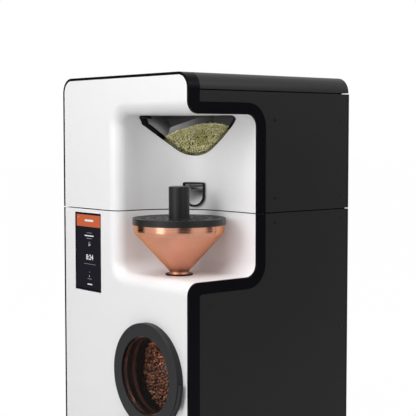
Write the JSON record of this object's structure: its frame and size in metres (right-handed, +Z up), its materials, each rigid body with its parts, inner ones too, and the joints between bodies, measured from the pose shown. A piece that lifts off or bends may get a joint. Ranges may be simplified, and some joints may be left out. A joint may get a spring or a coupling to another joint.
{
  "type": "coffee roaster",
  "caption": "Upright two-module coffee roaster: bean hopper window over a recess with a lidded copper funnel, round glazed door to a rotating drum, touch screen and bean drawer.",
  "frame": {"origin": "on the floor, below the middle of the overall box", "axes": "+Z up, the front face looks toward -Y, +X to the right seen from the front"},
  "size_m": [0.62, 0.657, 1.165],
  "materials": {
    "white_shell": "satin white moulding",
    "black_trim": "satin black edge",
    "side_panel": "fine satin charcoal paint",
    "rear_panel": "fine satin charcoal paint",
    "top_cap": "fine satin charcoal paint",
    "screw": "dark low head",
    "steel": "sheet metal",
    "hinge_steel": "dark steel",
    "copper": "brushed copper",
    "black_rubber": "black silicone",
    "lid_black": "dark grey moulding",
    "hopper_sheet": "dark satin sheet",
    "smoked_border": "smoked",
    "clear_pane": "clear",
    "green_bean": "green coffee beans",
    "roasted_bean": "roasted coffee beans",
    "screen_glass": "black display glass",
    "electronics": "black housing",
    "door_ring": "dark grey satin",
    "door_glass": "clear heat glass",
    "cast_head": "browned casting",
    "drum_steel": "heat-browned steel",
    "motor": "dark motor can",
    "belt": "flat belt",
    "pulley": "turned",
    "frame": "bar",
    "base": "black",
    "drawer_black": "dark grey moulding"
  },
  "bodies": {
    "root": {"base_pan": "base", "bearing_unit": "cast_head", "blower_housing": "steel", "blower_motor": "motor", "charge_chute": "steel", "door_gasket": "black_rubber", "door_hinge_fixed": "hinge_steel", "door_hinge_pin": "hinge_steel", "drive_belt": "belt", "drum_casing": "steel", "drum_head": "cast_head", "drum_motor": "motor", "exhaust_filter": "steel", "feed_chute": "hopper_sheet", "feeder_housing": "hopper_sheet", "feeder_motor": "motor", "feet": "black_rubber", "funnel_gasket": "black_rubber", "green_beans": "green_bean", "green_hopper": "hopper_sheet", "heater_duct": "steel", "hopper_window": "clear_pane", "lid_hinge_fixed": "hinge_steel", "lid_hinge_pin": "hinge_steel", "lower_frame": "frame", "lower_front_shell": "white_shell", "lower_left_panel": "side_panel", "lower_rear_panel": "rear_panel", "lower_right_panel": "side_panel", "lower_trim": "black_trim", "panel_screws": "screw", "port_rim": "lid_black", "power_inlet": "electronics", "roasted_beans": "roasted_bean", "screen_glass": "screen_glass", "screen_module": "electronics", "upper_frame": "frame", "upper_front_shell": "white_shell", "upper_left_panel": "side_panel", "upper_rear_panel": "rear_panel", "upper_right_panel": "side_panel", "upper_trim": "black_trim", "window_border": "smoked_border"},
    "cap": {"top_cap": "top_cap", "lid_hinge_moving": "hinge_steel"},
    "funnel_body": {"funnel": "copper"},
    "grate": {"perforated_lid": "lid_black", "lid_knob": "lid_black"},
    "door": {"door_ring": "door_ring", "door_glass": "door_glass", "door_hinge_moving": "hinge_steel"},
    "drum_body": {"drum": "drum_steel", "drum_shaft": "steel", "drum_pulley": "pulley"},
    "motor_drive": {"motor_pulley": "pulley"},
    "feeder": {"feeder_wheel": "steel"},
    "blower": {"blower_wheel": "pulley"},
    "drawer": {"drawer_front": "drawer_black", "bean_drawer": "steel"},
    "rocker": {"power_switch": "electronics"}
  },
  "joints": [
    {"name": "cap_hinge", "type": "hinge", "parent": "root", "child": "cap", "pos_m": [0, 0.3257, 1.119], "axis": [-1, 0, 0], "range_deg": [0, 75]},
    {"name": "funnel_lift", "type": "slide", "parent": "root", "child": "funnel_body", "axis": [0, 0, 1], "range_m": [0, 0.006]},
    {"name": "lid_lift", "type": "slide", "parent": "funnel_body", "child": "grate", "axis": [0, 0, 1], "range_m": [0, 0.015]},
    {"name": "door_hinge", "type": "hinge", "parent": "root", "child": "door", "pos_m": [-0.0065, -0.312, 0.312], "axis": [0, 0, -1], "range_deg": [0, 90]},
    {"name": "drum_spin", "type": "hinge", "parent": "root", "child": "drum_body", "pos_m": [0.134, 0, 0.312], "axis": [0, 1, 0], "continuous": true},
    {"name": "motor_spin", "type": "hinge", "parent": "root", "child": "motor_drive", "pos_m": [-0.12, 0.105, 0.15], "axis": [0, 1, 0], "continuous": true},
    {"name": "feeder_spin", "type": "hinge", "parent": "root", "child": "feeder", "pos_m": [0.032, -0.02928, 0.872], "axis": [0.866, 0.5, 0], "continuous": true},
    {"name": "blower_spin", "type": "hinge", "parent": "root", "child": "blower", "pos_m": [-0.165, -0.033, 0.292], "axis": [0, 1, 0], "continuous": true},
    {"name": "drawer_slide", "type": "slide", "parent": "root", "child": "drawer", "axis": [0, -1, 0], "range_m": [0, 0.3]},
    {"name": "switch_rock", "type": "hinge", "parent": "root", "child": "rocker", "pos_m": [-0.187, 0.3225, 0.1], "axis": [-1, 0, 0], "range_deg": [0, 16]}
  ],
  "couplings": [
    {"joint": "motor_spin", "follows": "drum_spin", "ratio": 3}
  ]
}
